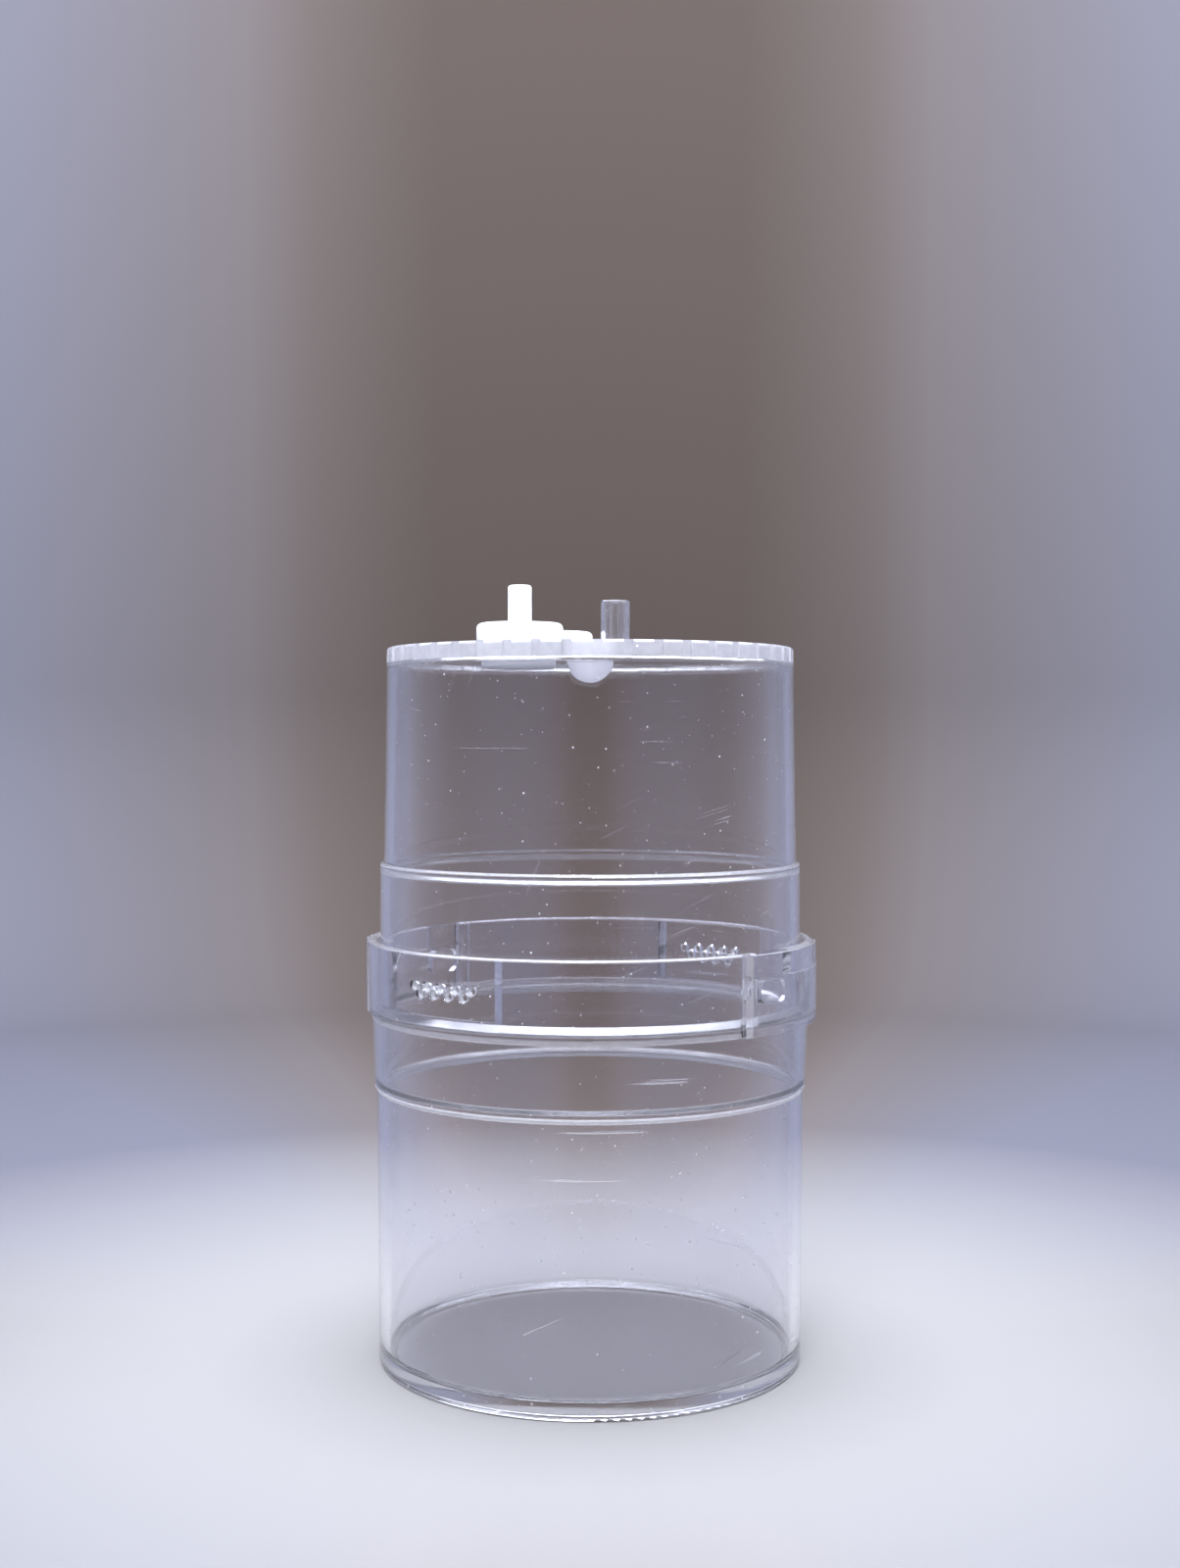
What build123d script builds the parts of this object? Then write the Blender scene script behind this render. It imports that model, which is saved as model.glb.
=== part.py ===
from build123d import *
import math
import os

os.makedirs("parts", exist_ok=True)

# A round rearing box for small animals, moulded in clear plastic. A low cup with a wide socket collar carries a tall
# upturned cup, which twists to lock and lifts off. Millimetres. The origin is the centre of the underside, +Z is up,
# and -Y is the front. Azimuths are in degrees from the front, growing towards +X. Heights are written from a level
# FOOT above the underside, and every piece is moved up by FOOT at the end.

# ---------------------------------------------------------------- driving dimensions
CLEAR = 0.05          # gap left between faces that rest on each other

# base cup, outside
FOOT = 24.5           # depth of the underside below the level that heights are written from
BASE_R_FOOT = 28.25   # radius just above the bottom edge
BASE_R_LEDGE = 28.47  # radius just under the lower ledge
BASE_Z_LEDGE = 12.0   # height of the lower ledge
BASE_R_MID = 28.72    # radius just above the lower ledge
BASE_R_NECK = 29.06   # radius just under the collar
COLLAR_Z0 = 21.2      # where the collar starts to flare out
COLLAR_Z1 = 21.9      # where the flare ends
COLLAR_R0 = 29.45     # collar radius at its bottom
COLLAR_R1 = 29.70     # collar radius at its top
COLLAR_TOP = 31.5     # height of the collar's rim
# base cup, inside
FLOOR_UNDER = -24.05  # recess under the floor
FLOOR_TOP = -22.65    # upper face of the floor
BASE_IN_FOOT = 26.83  # inner radius near the floor
BASE_IN_LEDGE = 27.00
BASE_IN_MID = 27.38
BASE_IN_SEAT = 27.52
SEAT_Z = 22.3         # ledge that the upper cup stands on
COLLAR_IN = 28.40     # inner radius of the socket

# upper cup
SKIRT_R = 28.00       # outside of the skirt that drops into the socket
SKIRT_IN = 26.80
LEAD_R, LEAD_Z = 1.0, 0.88   # bevel inside the bottom edge of the skirt
STEP_Z = 41.5         # outer step above the skirt
STEP_IN_Z = 40.5      # inner step
UPPER_R0 = 27.50      # outer radius just above the step
UPPER_R1 = 27.05      # outer radius at the top
UPPER_IN0 = 26.25
UPPER_IN1 = 25.85
TOP_Z = 70.0
TOP_UNDER = 68.1      # underside of the top wall
RIB_COUNT = 45        # grip notches round the top edge
RIB_W = 1.25
RIB_DEPTH = 0.50
RIB_Z0 = 67.95

# bayonet: two pins on the skirt, two grooves in thickened lugs of the collar
PIN_AZ = 50.8         # and the same plus 180
PIN_Z = 26.5
PIN_W = 5.3
PIN_H = 3.0
PIN_R = 29.35         # how far the pins reach
TWIST = 26.0          # turn from open to locked
GROOVE_R = 29.62      # bottom of the groove
GROOVE_Z0 = 22.6
GROOVE_Z1 = 28.3
ENTRY_HALF = 7.0      # half width of the upright entry, in degrees
GROOVE_END = 83.6
LUG_A0, LUG_A1 = 40.9, 86.6
LUG_R = 30.20
LUG_Z0 = 21.2
BAR_A0, BAR_A1 = 38.9, 41.3
BAR_R = 30.45

# ventilation: holes through the collar, windows in the skirt
VENT_AZ = -38.5       # and the same plus 180
VENT_R = 0.55
VENT_PITCH = 4.6      # degrees
VENT_Z_UP = 27.35
VENT_Z_LOW = 26.45
WINDOW_X = -24.49     # left end of the front window, a plane square to the front
WINDOW_OUT = (-10.46, -25.98)   # right end where it meets the outside of the skirt
WINDOW_IN = (-11.45, -24.21)    # and the inside
WINDOW_Z0, WINDOW_Z1 = 23.5, 31.2

# fittings in the top wall
STOPPER_XY = (-9.0, -10.8)
STOPPER_FLANGE_R = 5.55
STOPPER_FLANGE_TOP = 72.8
STOPPER_PEG_R = 1.515
STOPPER_PEG_TOP = 77.65
STOPPER_PLUG_R = 4.80
STOPPER_PLUG_Z0 = 66.9
PORT_R = 4.85
CAP_XY = (-5.2, 10.0)
CAP_PLUG_Z0 = 68.0
TUBE_XY = (3.45, 6.5)
TUBE_R = 2.00
TUBE_BORE_R = 1.55
TUBE_TOP = 76.9
TUBE_FLOOR = 70.5
SPIGOT_R = 1.42
SPIGOT_HOLE_R = 1.45
DOME_R = 3.16
DOME_IN_R = 2.55
DOME_Z = 68.61        # centre of the dome's sphere
DOME_HOLE_R = 3.20
DOME_LIP_R = 3.70
DOME_TOP = 70.5


# ---------------------------------------------------------------- helpers
def rounded_face(points):
    """Closed face in the XZ plane from (radius, height, corner radius) points."""
    n = len(points)
    ends = []
    for i, (x, z, r) in enumerate(points):
        if r == 0:
            ends.append(((x, z), None, (x, z)))
            continue
        px, pz, _ = points[i - 1]
        nx, nz, _ = points[(i + 1) % n]
        a = (px - x, pz - z)
        b = (nx - x, nz - z)
        la, lb = math.hypot(*a), math.hypot(*b)
        a = (a[0] / la, a[1] / la)
        b = (b[0] / lb, b[1] / lb)
        half = math.acos(max(-1, min(1, a[0] * b[0] + a[1] * b[1]))) / 2
        t = r / math.tan(half)
        bis = (a[0] + b[0], a[1] + b[1])
        lbis = math.hypot(*bis)
        d = r / math.sin(half) - r
        ends.append(
            (
                (x + a[0] * t, z + a[1] * t),
                (x + bis[0] / lbis * d, z + bis[1] / lbis * d),
                (x + b[0] * t, z + b[1] * t),
            )
        )
    edges = []
    for i in range(n):
        start, mid, stop = ends[i]
        if mid is not None:
            edges.append(
                Edge.make_three_point_arc(
                    (start[0], 0, start[1]), (mid[0], 0, mid[1]), (stop[0], 0, stop[1])
                )
            )
        nxt = ends[(i + 1) % n][0]
        if math.hypot(nxt[0] - stop[0], nxt[1] - stop[1]) > 1e-6:
            edges.append(Edge.make_line((stop[0], 0, stop[1]), (nxt[0], 0, nxt[1])))
    return Face(Wire(edges))


def turned(points):
    """Solid of revolution about Z from a rounded profile."""
    return revolve(rounded_face(points), axis=Axis.Z, revolution_arc=360)


def sector(r0, r1, z0, z1, a0, a1):
    """Ring segment between two radii, two heights and two azimuths."""
    face = rounded_face([(r0, z0, 0), (r1, z0, 0), (r1, z1, 0), (r0, z1, 0)])
    piece = revolve(face, axis=Axis.Z, revolution_arc=a1 - a0)
    return Rot(0, 0, a0 - 90) * piece


def radial(a):
    """Unit vector of an azimuth."""
    t = math.radians(a)
    return Vector(math.sin(t), -math.cos(t), 0)


def rod(x, y, r, z0, z1):
    """Upright cylinder."""
    return Pos(x, y, (z0 + z1) / 2) * Cylinder(r, z1 - z0)


def pin(a):
    """Rounded bayonet pin on the skirt, standing along an azimuth."""
    out = radial(a)
    tangent = Vector(-out.Y, out.X, 0)
    plane = Plane(origin=out * 27.4 + Vector(0, 0, PIN_Z), x_dir=tangent, z_dir=out)
    block = extrude(plane * RectangleRounded(PIN_W, PIN_H, 1.35), amount=3.0)
    limit = rod(0, 0, PIN_R, PIN_Z - 3, PIN_Z + 3)
    return block & limit


def vent_holes():
    """Cutters for one group of nine small holes and for the group opposite it."""
    cutters = []
    for half_turn in (0, 180):
        rows = [(VENT_Z_UP, (-2, -1, 0, 1, 2)), (VENT_Z_LOW, (-1.5, -0.5, 0.5, 1.5))]
        for z, steps in rows:
            for k in steps:
                a = VENT_AZ + half_turn + k * VENT_PITCH
                plane = Plane(origin=radial(a) * 27.9 + Vector(0, 0, z), z_dir=radial(a))
                cutters.append(extrude(plane * Circle(VENT_R), amount=3.0))
                # the rim of each hole is chamfered on the outside
                rim = Plane(origin=radial(a) * 29.56 + Vector(0, 0, z), z_dir=radial(a))
                cutters.append(rim.location * Cone(VENT_R - 0.05, VENT_R + 0.35, 0.4))
    return cutters


def window():
    """Cutter for the front window, as a core that is drawn out to the front leaves it."""
    dx, dy = WINDOW_IN[0] - WINDOW_OUT[0], WINDOW_IN[1] - WINDOW_OUT[1]
    outer = (WINDOW_OUT[0] - 0.5 * dx, WINDOW_OUT[1] - 0.5 * dy)
    inner = (WINDOW_IN[0] + 0.55 * dx, WINDOW_IN[1] + 0.55 * dy)
    corners = [(WINDOW_X, -16.0), (WINDOW_X, -10.0), inner, outer, (-13.5, -26.5), (-19.5, -22.0)]
    return Pos(0, 0, WINDOW_Z0) * extrude(make_face(Polyline(*corners, close=True)), amount=WINDOW_Z1 - WINDOW_Z0)


# ---------------------------------------------------------------- base cup
base = turned(
    [
        (0, FLOOR_UNDER, 0),
        (26.1, FLOOR_UNDER, 0.25),
        (26.6, -FOOT, 0.2),
        (BASE_R_FOOT - 0.02, -FOOT, 0.45),
        (BASE_R_LEDGE, BASE_Z_LEDGE - 0.3, 0.3),
        (BASE_R_MID, BASE_Z_LEDGE + 0.05, 0.15),
        (BASE_R_NECK, COLLAR_Z0, 0.4),
        (COLLAR_R0, COLLAR_Z1, 0.3),
        (COLLAR_R1, COLLAR_TOP, 0.4),
        (COLLAR_IN + 0.1, COLLAR_TOP, 0.3),
        (COLLAR_IN, SEAT_Z, 0.1),
        (BASE_IN_SEAT, SEAT_Z, 0.25),
        (BASE_IN_MID, BASE_Z_LEDGE + 1.15, 0.3),
        (BASE_IN_LEDGE, BASE_Z_LEDGE + 0.55, 0.2),
        (BASE_IN_FOOT, FLOOR_TOP, 1.0),
        (0, FLOOR_TOP, 0),
    ]
)
for half_turn in (0, 180):
    base += sector(28.9, LUG_R, LUG_Z0, COLLAR_TOP - 0.25, LUG_A0 + half_turn, LUG_A1 + half_turn)
    base += sector(28.9, BAR_R, LUG_Z0, COLLAR_TOP - 0.05, BAR_A0 + half_turn, BAR_A1 + half_turn)
# the lugs follow the cup's wall under the collar and leave the socket open
base -= turned(
    [
        (20, SEAT_Z, 0),
        (COLLAR_IN, SEAT_Z, 0.1),
        (COLLAR_IN + 0.1, COLLAR_TOP + 1, 0),
        (20, COLLAR_TOP + 1, 0),
    ]
)
for half_turn in (0, 180):
    c = PIN_AZ + half_turn
    # upright entry, open at the rim, and the groove that runs on from its foot
    base -= sector(27.9, GROOVE_R, GROOVE_Z0, COLLAR_TOP + 1, c - ENTRY_HALF, c + ENTRY_HALF)
    base -= sector(27.9, GROOVE_R, GROOVE_Z0, GROOVE_Z1, c, GROOVE_END + half_turn)
    # square notch in the end bar
    base -= sector(BAR_R - 0.4, BAR_R + 0.5, 26.4, 28.9, BAR_A0 - 1 + half_turn, BAR_A1 - 0.7 + half_turn)
for cutter in vent_holes():
    base -= cutter
base.label = "base_cup"

# ---------------------------------------------------------------- upper cup
upper = turned(
    [
        (0, TOP_UNDER, 0),
        (UPPER_IN1, TOP_UNDER, 0.7),
        (UPPER_IN0, STEP_IN_Z + 0.35, 0.25),
        (SKIRT_IN - 0.03, STEP_IN_Z - 0.12, 0.2),
        (SKIRT_IN, SEAT_Z + CLEAR + LEAD_Z, 0),
        (SKIRT_IN + LEAD_R, SEAT_Z + CLEAR, 0),
        (SKIRT_R - 0.1, SEAT_Z + CLEAR, 0),
        (SKIRT_R, SEAT_Z + CLEAR + 0.1, 0),
        (SKIRT_R, STEP_Z, 0.3),
        (UPPER_R0, STEP_Z + 0.05, 0.15),
        (UPPER_R1, TOP_Z, 0.45),
        (0, TOP_Z, 0),
    ]
)
for half_turn in (0, 180):
    upper -= Rot(0, 0, half_turn) * window()
    upper += pin(PIN_AZ + half_turn)
for i in range(RIB_COUNT):
    notch = Pos(UPPER_R1 + 0.5 - RIB_DEPTH, 0, (RIB_Z0 + TOP_Z + 0.5) / 2) * Box(
        1.0, RIB_W, TOP_Z + 0.5 - RIB_Z0
    )
    upper -= Rot(0, 0, i * 360 / RIB_COUNT) * notch
upper -= rod(*STOPPER_XY, PORT_R, TOP_UNDER - 1, TOP_Z + 1)
upper -= rod(*CAP_XY, PORT_R, TOP_UNDER - 1, TOP_Z + 1)
upper -= rod(*TUBE_XY, SPIGOT_HOLE_R, TOP_UNDER - 1, TOP_Z + 1)
upper -= rod(0, 0, DOME_HOLE_R, TOP_UNDER - 1, TOP_Z + 1)
upper.label = "upper_cup"

# ---------------------------------------------------------------- feed stopper: peg, flange and hollow plug in one
stopper = Pos(STOPPER_XY[0], STOPPER_XY[1], 0) * turned(
    [
        (0, STOPPER_PEG_TOP, 0),
        (STOPPER_PEG_R, STOPPER_PEG_TOP, 0.35),
        (STOPPER_PEG_R, STOPPER_FLANGE_TOP, 0.25),
        (STOPPER_FLANGE_R, STOPPER_FLANGE_TOP, 0.7),
        (STOPPER_FLANGE_R, TOP_Z + CLEAR, 0.25),
        (STOPPER_PLUG_R, TOP_Z + CLEAR, 0),
        (STOPPER_PLUG_R, STOPPER_PLUG_Z0, 0.55),
        (3.5, STOPPER_PLUG_Z0, 0.2),
        (3.3, 71.0, 0.4),
        (0, 71.0, 0),
    ]
)
stopper.label = "feed_stopper"

# ---------------------------------------------------------------- rear cap: low, with a short hollow plug
cap = Pos(CAP_XY[0], CAP_XY[1], 0) * turned(
    [
        (0, STOPPER_FLANGE_TOP, 0),
        (STOPPER_FLANGE_R, STOPPER_FLANGE_TOP, 0.7),
        (STOPPER_FLANGE_R, TOP_Z + CLEAR, 0.25),
        (STOPPER_PLUG_R, TOP_Z + CLEAR, 0),
        (STOPPER_PLUG_R, CAP_PLUG_Z0, 0.35),
        (3.5, CAP_PLUG_Z0, 0.2),
        (3.3, 71.0, 0.4),
        (0, 71.0, 0),
    ]
)
cap.label = "rear_cap"

# ---------------------------------------------------------------- clear tube on a spigot, blind, open at the top
tube = Pos(TUBE_XY[0], TUBE_XY[1], 0) * turned(
    [
        (0, TOP_UNDER + 0.1, 0),
        (SPIGOT_R, TOP_UNDER + 0.1, 0.2),
        (SPIGOT_R, TOP_Z + CLEAR, 0),
        (TUBE_R, TOP_Z + CLEAR, 0.15),
        (TUBE_R, TUBE_TOP, 0.18),
        (TUBE_BORE_R, TUBE_TOP, 0.12),
        (TUBE_BORE_R, TUBE_FLOOR, 0),
        (0, TUBE_FLOOR, 0),
    ]
)
tube.label = "light_tube"

# ---------------------------------------------------------------- frosted dome in the middle of the top wall
c45 = math.sqrt(0.5)
dome_edges = [
    Edge.make_three_point_arc(
        (0, 0, DOME_Z - DOME_R), (DOME_R * c45, 0, DOME_Z - DOME_R * c45), (DOME_R, 0, DOME_Z)
    ),
    Edge.make_line((DOME_R, 0, DOME_Z), (DOME_R, 0, TOP_Z + CLEAR)),
    Edge.make_line((DOME_R, 0, TOP_Z + CLEAR), (DOME_LIP_R, 0, TOP_Z + CLEAR)),
    Edge.make_line((DOME_LIP_R, 0, TOP_Z + CLEAR), (DOME_LIP_R, 0, DOME_TOP - 0.15)),
    Edge.make_line((DOME_LIP_R, 0, DOME_TOP - 0.15), (DOME_LIP_R - 0.15, 0, DOME_TOP)),
    Edge.make_line((DOME_LIP_R - 0.15, 0, DOME_TOP), (DOME_IN_R, 0, DOME_TOP)),
    Edge.make_line((DOME_IN_R, 0, DOME_TOP), (DOME_IN_R, 0, DOME_Z)),
    Edge.make_three_point_arc(
        (DOME_IN_R, 0, DOME_Z), (DOME_IN_R * c45, 0, DOME_Z - DOME_IN_R * c45), (0, 0, DOME_Z - DOME_IN_R)
    ),
    Edge.make_line((0, 0, DOME_Z - DOME_IN_R), (0, 0, DOME_Z - DOME_R)),
]
dome = revolve(Face(Wire(dome_edges)), axis=Axis.Z, revolution_arc=360)
dome.label = "light_dome"

# ---------------------------------------------------------------- files
for piece in (base, upper, stopper, cap, tube, dome):
    raised = Pos(0, 0, FOOT) * piece
    raised.label = piece.label
    export_step(raised, f"parts/{raised.label}.step")
    print(raised.label, "solids", len(raised.solids()), "volume", round(raised.volume, 1))
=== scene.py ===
import math

import bpy
from mathutils import Euler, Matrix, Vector

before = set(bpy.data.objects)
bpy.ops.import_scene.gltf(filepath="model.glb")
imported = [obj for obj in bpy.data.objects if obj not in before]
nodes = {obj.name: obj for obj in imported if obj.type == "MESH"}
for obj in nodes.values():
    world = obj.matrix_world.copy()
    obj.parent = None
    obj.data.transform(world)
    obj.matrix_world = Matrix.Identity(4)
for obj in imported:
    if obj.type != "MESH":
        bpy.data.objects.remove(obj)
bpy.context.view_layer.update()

MM = 0.001
scene = bpy.context.scene


# ---------------------------------------------------------------- node helpers
def new_material(name):
    mat = bpy.data.materials.new(name)
    mat.use_nodes = True
    nt = mat.node_tree
    bsdf = nt.nodes["Principled BSDF"]
    return mat, nt, bsdf


def add(nt, kind, **values):
    n = nt.nodes.new(kind)
    for key, value in values.items():
        if key in n.inputs:
            n.inputs[key].default_value = value
        else:
            setattr(n, key, value)
    return n


def noise(nt, coords, scale, detail=3.0, rough=0.5, stretch=None):
    if stretch is not None:
        m = add(nt, "ShaderNodeMapping")
        m.inputs["Scale"].default_value = stretch
        nt.links.new(coords, m.inputs["Vector"])
        coords = m.outputs["Vector"]
    n = add(nt, "ShaderNodeTexNoise")
    n.inputs["Scale"].default_value = scale
    n.inputs["Detail"].default_value = detail
    n.inputs["Roughness"].default_value = rough
    nt.links.new(coords, n.inputs["Vector"])
    return n.outputs["Fac"]


def remap(nt, source, lo, hi, to_lo, to_hi):
    m = add(nt, "ShaderNodeMapRange")
    m.clamp = True
    m.inputs["From Min"].default_value = lo
    m.inputs["From Max"].default_value = hi
    m.inputs["To Min"].default_value = to_lo
    m.inputs["To Max"].default_value = to_hi
    nt.links.new(source, m.inputs["Value"])
    return m.outputs["Result"]


def maths(nt, op, a, b):
    m = add(nt, "ShaderNodeMath", operation=op)
    for socket, value in zip(m.inputs, (a, b)):
        if isinstance(value, (int, float)):
            socket.default_value = value
        else:
            nt.links.new(value, socket)
    return m.outputs["Value"]


def window(nt, value, lo, hi, soft):
    """1 where value lies between lo and hi, with soft ends."""
    return maths(nt, "MULTIPLY", remap(nt, value, lo - soft, lo + soft, 0.0, 1.0), remap(nt, value, hi - soft, hi + soft, 1.0, 0.0))


def scratches(nt, where, turn, scale, lo, hi, mask_scale, keep):
    """Short straight scratches: strongly stretched noise, kept only in patches."""
    m = add(nt, "ShaderNodeMapping")
    m.inputs["Rotation"].default_value = turn
    nt.links.new(where, m.inputs["Vector"])
    fine = noise(nt, m.outputs["Vector"], 1.0, 1.0, 0.5, scale)
    return maths(nt, "MULTIPLY", remap(nt, fine, lo, hi, 0.0, 1.0), remap(nt, noise(nt, where, mask_scale, 1.0, 0.5), keep, keep + 0.05, 0.0, 1.0))


def clear_plastic(name, tint, seed, rough=0.012, dust=1.0, bright=()):
    """Clear polystyrene: faint tint, fine handling scratches, a little waviness and specks of dust.

    bright lists bands (inner radius, outer radius, lowest and highest height in mm, amount) such as ledges and rims,
    frosted white there: a painted highlight for the light that glints along them.
    """
    mat, nt, bsdf = new_material(name)
    bsdf.inputs["Base Color"].default_value = (*tint, 1)
    bsdf.inputs["IOR"].default_value = 1.585
    tc = add(nt, "ShaderNodeTexCoord")
    shift = add(nt, "ShaderNodeMapping")
    shift.inputs["Location"].default_value = (seed * 0.37, seed * 0.11, seed * 0.23)
    nt.links.new(tc.outputs["Object"], shift.inputs["Vector"])
    where = shift.outputs["Vector"]

    # dust: small round specks from the cells of a fine grid, most of them faint, a few of them bright
    marks_and_glints = None
    for scale, share, size, strength in ((1000.0, 0.15, 0.15, 1.0), (480.0, 0.07, 0.09, 1.0)):
        cells = add(nt, "ShaderNodeTexVoronoi", feature="F1")
        cells.inputs["Scale"].default_value = scale
        cells.inputs["Randomness"].default_value = 1.0
        nt.links.new(where, cells.inputs["Vector"])
        speck = remap(nt, cells.outputs["Distance"], size * 0.5, size, strength, 0.0)
        colour = add(nt, "ShaderNodeSeparateColor")
        nt.links.new(cells.outputs["Color"], colour.inputs["Color"])
        rare = maths(nt, "GREATER_THAN", colour.outputs["Red"], 1 - share * dust)
        speck = maths(nt, "MULTIPLY", speck, rare)
        speck = maths(nt, "MULTIPLY", speck, maths(nt, "POWER", colour.outputs["Green"], 1.2))
        marks_and_glints = speck if marks_and_glints is None else maths(nt, "MAXIMUM", marks_and_glints, speck)

    # scratches round the wall, and slanting ones
    level = scratches(nt, where, (0.0, 0.0, 0.0), (32.0, 32.0, 2600.0), 0.72, 0.76, 70.0, 0.60)
    slant = scratches(nt, where, (0.25, 0.42, 0.0), (40.0, 40.0, 2200.0), 0.73, 0.77, 55.0, 0.62)
    steep = scratches(nt, where, (0.1, 1.2, 0.3), (40.0, 40.0, 2000.0), 0.74, 0.78, 60.0, 0.64)
    hair = maths(nt, "MAXIMUM", level, maths(nt, "MAXIMUM", slant, steep))
    marks_and_glints = maths(nt, "MAXIMUM", marks_and_glints, maths(nt, "MULTIPLY", hair, 0.3))

    # ledges and rims: frosted white bands, a painted highlight for the light that glints along them
    painted_glint_frost = None
    if bright:
        sep = add(nt, "ShaderNodeSeparateXYZ")
        nt.links.new(tc.outputs["Object"], sep.inputs["Vector"])
        square = maths(nt, "ADD", maths(nt, "POWER", sep.outputs["X"], 2.0), maths(nt, "POWER", sep.outputs["Y"], 2.0))
        out = maths(nt, "SQRT", square, 0.0)
        grain = remap(nt, noise(nt, where, 700.0, 1.0, 0.5), 0.3, 0.7, 0.85, 1.0)
        for r0, r1, z0, z1, amount in bright:
            band = maths(
                nt,
                "MULTIPLY",
                window(nt, out, r0 * MM, r1 * MM, 0.00008),
                window(nt, sep.outputs["Z"], z0 * MM, z1 * MM, 0.00008),
            )
            band = maths(nt, "MULTIPLY", band, amount)
            painted_glint_frost = band if painted_glint_frost is None else maths(nt, "MAXIMUM", painted_glint_frost, band)
        painted_glint_frost = maths(nt, "MULTIPLY", painted_glint_frost, grain)
        # the painted highlight bands join the real dust and scratches here
        marks_and_glints = maths(nt, "MAXIMUM", marks_and_glints, painted_glint_frost)
    nt.links.new(maths(nt, "SUBTRACT", 1.0, marks_and_glints), bsdf.inputs["Transmission Weight"])

    # rubbing: dull streaks in patches
    streak_a = noise(nt, where, 260.0, 2.0, 0.6, (1.0, 1.0, 0.06))
    streak_b = noise(nt, where, 300.0, 2.0, 0.6, (0.25, 0.25, 1.6))
    rub = noise(nt, where, 45.0, 3.0, 0.55)
    streaks = maths(nt, "MAXIMUM", remap(nt, streak_a, 0.66, 0.76, 0.0, 1.0), remap(nt, streak_b, 0.68, 0.78, 0.0, 1.0))
    patchy = remap(nt, rub, 0.45, 0.7, 0.0, 1.0)
    scratched = maths(nt, "MULTIPLY", streaks, patchy)
    r = maths(nt, "ADD", maths(nt, "MULTIPLY", scratched, 0.08), remap(nt, rub, 0.35, 0.75, rough, rough + 0.03))
    r = maths(nt, "ADD", r, maths(nt, "MULTIPLY", marks_and_glints, 0.5))
    nt.links.new(r, bsdf.inputs["Roughness"])

    # waviness of the moulding
    wave = noise(nt, where, 38.0, 2.0, 0.4, (1.0, 1.0, 0.55))
    height = maths(nt, "ADD", wave, maths(nt, "MULTIPLY", scratched, 0.02))
    bump = add(nt, "ShaderNodeBump")
    bump.inputs["Strength"].default_value = 0.25
    bump.inputs["Distance"].default_value = 0.00022
    nt.links.new(height, bump.inputs["Height"])
    nt.links.new(bump.outputs["Normal"], bsdf.inputs["Normal"])
    return mat


def white_plastic(name, colour, seed):
    """Soft white polyethylene: satin, slightly translucent, with a fine moulded texture."""
    mat, nt, bsdf = new_material(name)
    bsdf.inputs["IOR"].default_value = 1.51
    bsdf.inputs["Subsurface Weight"].default_value = 1.0
    bsdf.inputs["Subsurface Radius"].default_value = (1.0, 0.99, 0.97)
    bsdf.inputs["Subsurface Scale"].default_value = 0.004
    tc = add(nt, "ShaderNodeTexCoord")
    shift = add(nt, "ShaderNodeMapping")
    shift.inputs["Location"].default_value = (seed * 0.31, seed * 0.17, seed * 0.29)
    nt.links.new(tc.outputs["Object"], shift.inputs["Vector"])
    where = shift.outputs["Vector"]
    mottle = noise(nt, where, 180.0, 3.0, 0.5)
    ramp = add(nt, "ShaderNodeMix", data_type="RGBA")
    nt.links.new(remap(nt, mottle, 0.3, 0.7, 0.0, 1.0), ramp.inputs[0])
    ramp.inputs[6].default_value = (*[c * 0.96 for c in colour], 1)
    ramp.inputs[7].default_value = (*colour, 1)
    nt.links.new(ramp.outputs[2], bsdf.inputs["Base Color"])
    fine = noise(nt, where, 1500.0, 2.0, 0.6)
    nt.links.new(remap(nt, fine, 0.3, 0.7, 0.30, 0.44), bsdf.inputs["Roughness"])
    bump = add(nt, "ShaderNodeBump")
    bump.inputs["Strength"].default_value = 0.12
    bump.inputs["Distance"].default_value = 0.00005
    nt.links.new(fine, bump.inputs["Height"])
    nt.links.new(bump.outputs["Normal"], bsdf.inputs["Normal"])
    return mat


def frosted_plastic(name, tint, seed):
    """Frosted translucent plastic."""
    mat, nt, bsdf = new_material(name)
    bsdf.inputs["IOR"].default_value = 1.5
    bsdf.inputs["Base Color"].default_value = (*tint, 1)
    bsdf.inputs["Transmission Weight"].default_value = 0.1
    bsdf.inputs["Subsurface Weight"].default_value = 0.8
    bsdf.inputs["Subsurface Radius"].default_value = (1.0, 1.0, 1.0)
    bsdf.inputs["Subsurface Scale"].default_value = 0.003
    tc = add(nt, "ShaderNodeTexCoord")
    fine = noise(nt, tc.outputs["Object"], 1400.0, 2.0, 0.6)
    nt.links.new(remap(nt, fine, 0.3, 0.7, 0.5, 0.65), bsdf.inputs["Roughness"])
    bump = add(nt, "ShaderNodeBump")
    bump.inputs["Strength"].default_value = 0.2
    bump.inputs["Distance"].default_value = 0.00004
    nt.links.new(fine, bump.inputs["Height"])
    nt.links.new(bump.outputs["Normal"], bsdf.inputs["Normal"])
    return mat


def wear(obj, mat):
    obj.data.materials.clear()
    obj.data.materials.append(mat)


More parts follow.
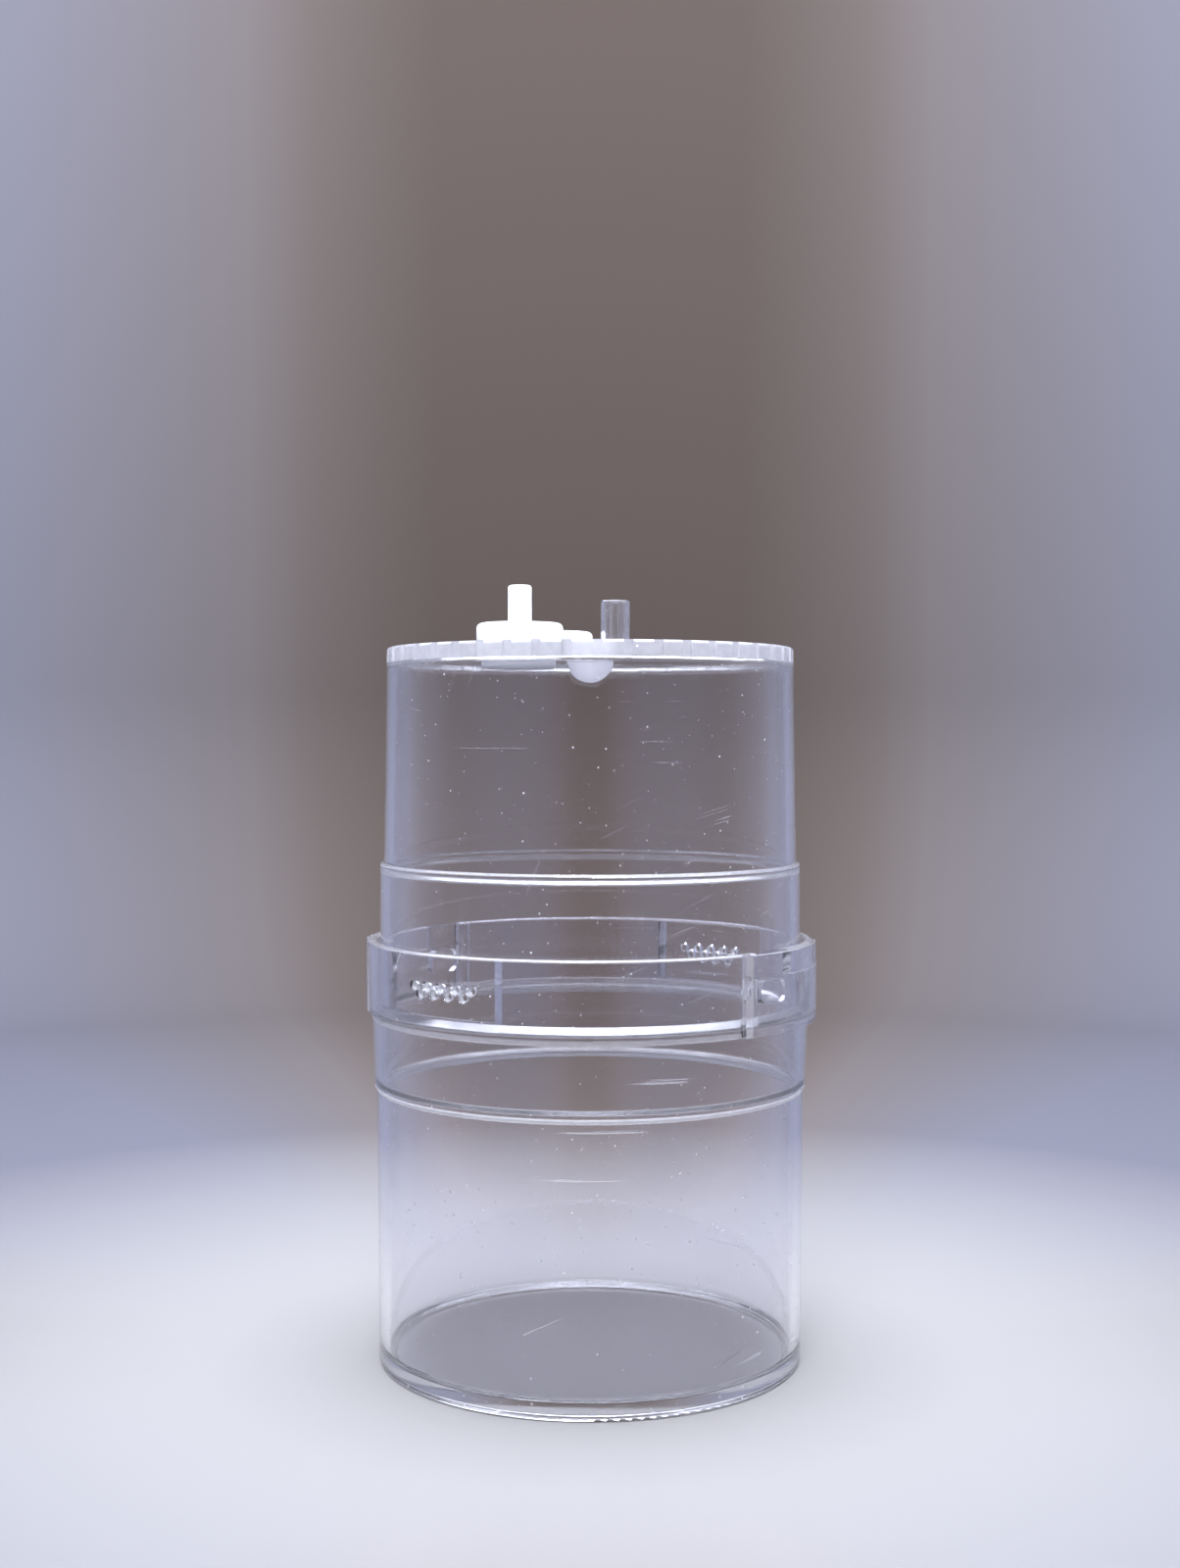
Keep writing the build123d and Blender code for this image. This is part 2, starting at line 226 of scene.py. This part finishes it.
CLEAR_TINT = (0.965, 0.965, 0.995)
FOOT = 24.5     # mm from the underside to the level that part heights are written from
# frosted white bands: a painted highlight for the light that glints along ledges, rims, vents and pins
BASE_GLINT_BANDS = [
    (26.8, 27.6, FOOT + 12.4, FOOT + 13.3, 0.16),     # inner ledge
    (28.3, 28.85, FOOT + 11.6, FOOT + 12.3, 0.70),    # outer ledge
    (28.9, 29.6, FOOT + 21.1, FOOT + 21.8, 0.40),     # flare under the collar
    (27.3, 28.5, FOOT + 21.9, FOOT + 22.5, 0.30),     # seat
    (28.3, 29.8, FOOT + 31.2, FOOT + 31.6, 0.25),     # rim of the collar
    (28.60, 29.38, FOOT + 25.7, FOOT + 28.4, 0.60),   # walls of the vent holes, roof of the grooves
    (29.80, 30.12, FOOT + 21.0, FOOT + 31.5, 0.24),   # ends of the lugs
    (30.12, 30.28, FOOT + 21.0, FOOT + 31.5, 0.04),   # face of the lugs
    (30.28, 30.55, FOOT + 21.0, FOOT + 31.6, 0.24),   # bars
    (26.5, 28.3, -0.1, 0.35, 0.25),                   # foot ring
]
UPPER_GLINT_BANDS = [
    (25.9, 27.3, FOOT + 67.95, FOOT + 70.1, 0.36),    # ribbed rim
    (25.0, 26.0, FOOT + 67.3, FOOT + 68.2, 0.12),     # inner corner under the top
    (26.15, 26.9, FOOT + 40.2, FOOT + 41.0, 0.40),    # inner ledge
    (27.4, 28.1, FOOT + 41.3, FOOT + 41.6, 0.25),     # outer ledge
    (26.7, 28.1, FOOT + 22.3, FOOT + 23.35, 0.20),    # bottom edge of the skirt
    (26.90, 27.90, FOOT + 23.3, FOOT + 31.4, 0.06),   # ends of the windows
    (28.10, 29.30, FOOT + 24.9, FOOT + 28.1, 0.10),   # sides of the pins
]
# each clear part gets its frosted bands of painted highlight; the tube's band is very faint
wear(nodes["base_cup"], clear_plastic("clear_base", CLEAR_TINT, 1.0, bright=BASE_GLINT_BANDS))
wear(nodes["upper_cup"], clear_plastic("clear_upper", CLEAR_TINT, 2.0, bright=UPPER_GLINT_BANDS))
wear(nodes["light_tube"], clear_plastic("clear_tube", CLEAR_TINT, 3.0, bright=[(5.0, 9.8, FOOT + 70.1, FOOT + 77.2, 0.03)]))
wear(nodes["feed_stopper"], white_plastic("white_stopper", (0.965, 0.968, 0.97), 1.0))
wear(nodes["rear_cap"], white_plastic("white_cap", (0.965, 0.968, 0.97), 2.0))
wear(nodes["light_dome"], frosted_plastic("frosted_dome", (0.74, 0.74, 0.77), 1.0))


# ---------------------------------------------------------------- stage: a round studio cove with a pale floor
FLOOR_COLOUR = (0.29, 0.283, 0.272)
MIDDLE_COLOUR = (0.70, 0.69, 0.67)
# painted shade: each panel is darker in its middle than at its edges, as a card lying in shadow
PANEL_SHADED_COLOUR = (0.068, 0.050, 0.0395)
PANEL_EDGE_COLOUR = (0.116, 0.095, 0.083)
WALL_COLOUR = (0.117, 0.119, 0.146)
GLOW_COLOUR = (0.72, 0.76, 1.0)
GLOW = 0.10
PANEL_IN, PANEL_OUT = 0.62, -0.55     # cosine of four times the angle from the middle of a panel
EDGE_IN, EDGE_OUT = 0.88, 0.45        # the same, where the panel grows lighter towards its edges
SIDE_PANEL = 0.5                      # strength of the two panels at the sides
FLOOR_R0, FLOOR_R1 = 0.05, 0.16
FLAT, CURVE, TOP, TURNS = 0.33, 0.10, 0.391, 144
FLOOR_Z = -0.00003                    # a hair under the foot, so that no two faces lie in one plane


def cove():
    """Pale floor that curves up into a wall all round. The wall has a warm grey panel in each of four directions."""
    line = [(0.0, 0.0), (0.06, 0.0), (0.14, 0.0), (FLAT, 0.0)]
    steps = 20
    for i in range(1, steps + 1):
        a = math.pi / 2 * i / steps
        line.append((FLAT + CURVE * math.sin(a), CURVE - CURVE * math.cos(a)))
    line += [(FLAT + CURVE, 0.2), (FLAT + CURVE, TOP)]
    verts, faces = [(0.0, 0.0, FLOOR_Z)], []
    for d, z in line[1:]:
        for k in range(TURNS):
            t = 2 * math.pi * k / TURNS
            verts.append((d * math.sin(t), d * math.cos(t), z + FLOOR_Z))
    for k in range(TURNS):
        faces.append((0, 1 + (k + 1) % TURNS, 1 + k))
    for i in range(len(line) - 2):
        for k in range(TURNS):
            p, q = 1 + i * TURNS + k, 1 + i * TURNS + (k + 1) % TURNS
            faces.append((p, q, q + TURNS, p + TURNS))
    mesh = bpy.data.meshes.new("cove")
    mesh.from_pydata(verts, [], faces)
    for f in mesh.polygons:
        f.use_smooth = True
    obj = bpy.data.objects.new("cove", mesh)
    scene.collection.objects.link(obj)

    mat, nt, bsdf = new_material("cove")
    tc = add(nt, "ShaderNodeTexCoord")
    sep = add(nt, "ShaderNodeSeparateXYZ")
    nt.links.new(tc.outputs["Object"], sep.inputs["Vector"])
    turn = maths(nt, "ARCTAN2", sep.outputs["X"], sep.outputs["Y"])
    four = maths(nt, "COSINE", maths(nt, "MULTIPLY", turn, 4.0), 0.0)
    square = maths(nt, "ADD", maths(nt, "POWER", sep.outputs["X"], 2.0), maths(nt, "POWER", sep.outputs["Y"], 2.0))
    out = maths(nt, "SQRT", square, 0.0)
    panel = remap(nt, four, PANEL_OUT, PANEL_IN, 0.0, 1.0)
    along = maths(nt, "POWER", maths(nt, "COSINE", turn, 0.0), 2.0)
    panel = maths(nt, "MULTIPLY", panel, remap(nt, along, 0.0, 1.0, SIDE_PANEL, 1.0))
    # painted shade: the panel colour darkens from its edges towards its middle
    shade = add(nt, "ShaderNodeMix", data_type="RGBA")
    nt.links.new(remap(nt, four, EDGE_OUT, EDGE_IN, 0.0, 1.0), shade.inputs[0])
    shade.inputs[6].default_value = (*PANEL_EDGE_COLOUR, 1)
    shade.inputs[7].default_value = (*PANEL_SHADED_COLOUR, 1)
    wall = add(nt, "ShaderNodeMix", data_type="RGBA")
    nt.links.new(panel, wall.inputs[0])
    wall.inputs[6].default_value = (*WALL_COLOUR, 1)
    nt.links.new(shade.outputs[2], wall.inputs[7])
    mix = add(nt, "ShaderNodeMix", data_type="RGBA")
    nt.links.new(remap(nt, out, FLOOR_R0, FLOOR_R1, 0.0, 1.0), mix.inputs[0])
    mix.inputs[6].default_value = (*FLOOR_COLOUR, 1)
    nt.links.new(wall.outputs[2], mix.inputs[7])
    # the middle, which the foot stands on, is paler, to make up for the light that the clear floor keeps off it
    disc = add(nt, "ShaderNodeMix", data_type="RGBA")
    nt.links.new(remap(nt, out, 0.0258, 0.0266, 1.0, 0.0), disc.inputs[0])
    nt.links.new(mix.outputs[2], disc.inputs[6])
    disc.inputs[7].default_value = (*MIDDLE_COLOUR, 1)
    nt.links.new(disc.outputs[2], bsdf.inputs["Base Color"])
    bsdf.inputs["Roughness"].default_value = 0.9
    bsdf.inputs["Emission Color"].default_value = (*GLOW_COLOUR, 1)
    lit = maths(nt, "SUBTRACT", 1.0, panel)
    glow = maths(nt, "MULTIPLY", maths(nt, "MULTIPLY", lit, GLOW), remap(nt, out, FLAT, FLAT + CURVE - 0.005, 0.0, 1.0))
    nt.links.new(glow, bsdf.inputs["Emission Strength"])
    obj.data.materials.append(mat)
    return obj


cove()


# ---------------------------------------------------------------- light
def area(name, loc, look_at, size, power, colour, shape="RECTANGLE"):
    data = bpy.data.lights.new(name, "AREA")
    data.shape = shape
    data.size, data.size_y = size
    data.energy = power
    data.color = colour
    obj = bpy.data.objects.new(name, data)
    scene.collection.objects.link(obj)
    obj.location = loc
    d = Vector(look_at) - Vector(loc)
    obj.rotation_euler = d.to_track_quat("-Z", "Y").to_euler()
    return obj


area("top", (0.0, 0.0, 0.55), (0, 0, 0.0), (0.36, 0.36), 2.8, (0.78, 0.80, 1.0), "ELLIPSE")
area("key", (-0.06, -0.50, 0.46), (0, 0, 0.08), (0.26, 0.16), 5.2, (0.90, 0.93, 1.0))

world = bpy.data.worlds.new("world")
world.use_nodes = True
bg = world.node_tree.nodes["Background"]
bg.inputs["Color"].default_value = (0.84, 0.88, 1.0, 1)
bg.inputs["Strength"].default_value = 3.75
scene.world = world
scene.view_settings.view_transform = "Standard"
scene.cycles.max_bounces = 24
scene.cycles.transmission_bounces = 24
scene.cycles.glossy_bounces = 12

# ---------------------------------------------------------------- camera
cam = bpy.data.cameras.new("camera")
cam.sensor_width = 36.0
cam.lens = 45.0
cam.clip_start = 0.01
cam.clip_end = 10.0
camera = bpy.data.objects.new("camera", cam)
scene.collection.objects.link(camera)
camera.location = (0.0, -0.26268, 0.082413)
camera.rotation_euler = Euler((math.radians(90 - 1.3052), 0, 0))
scene.camera = camera
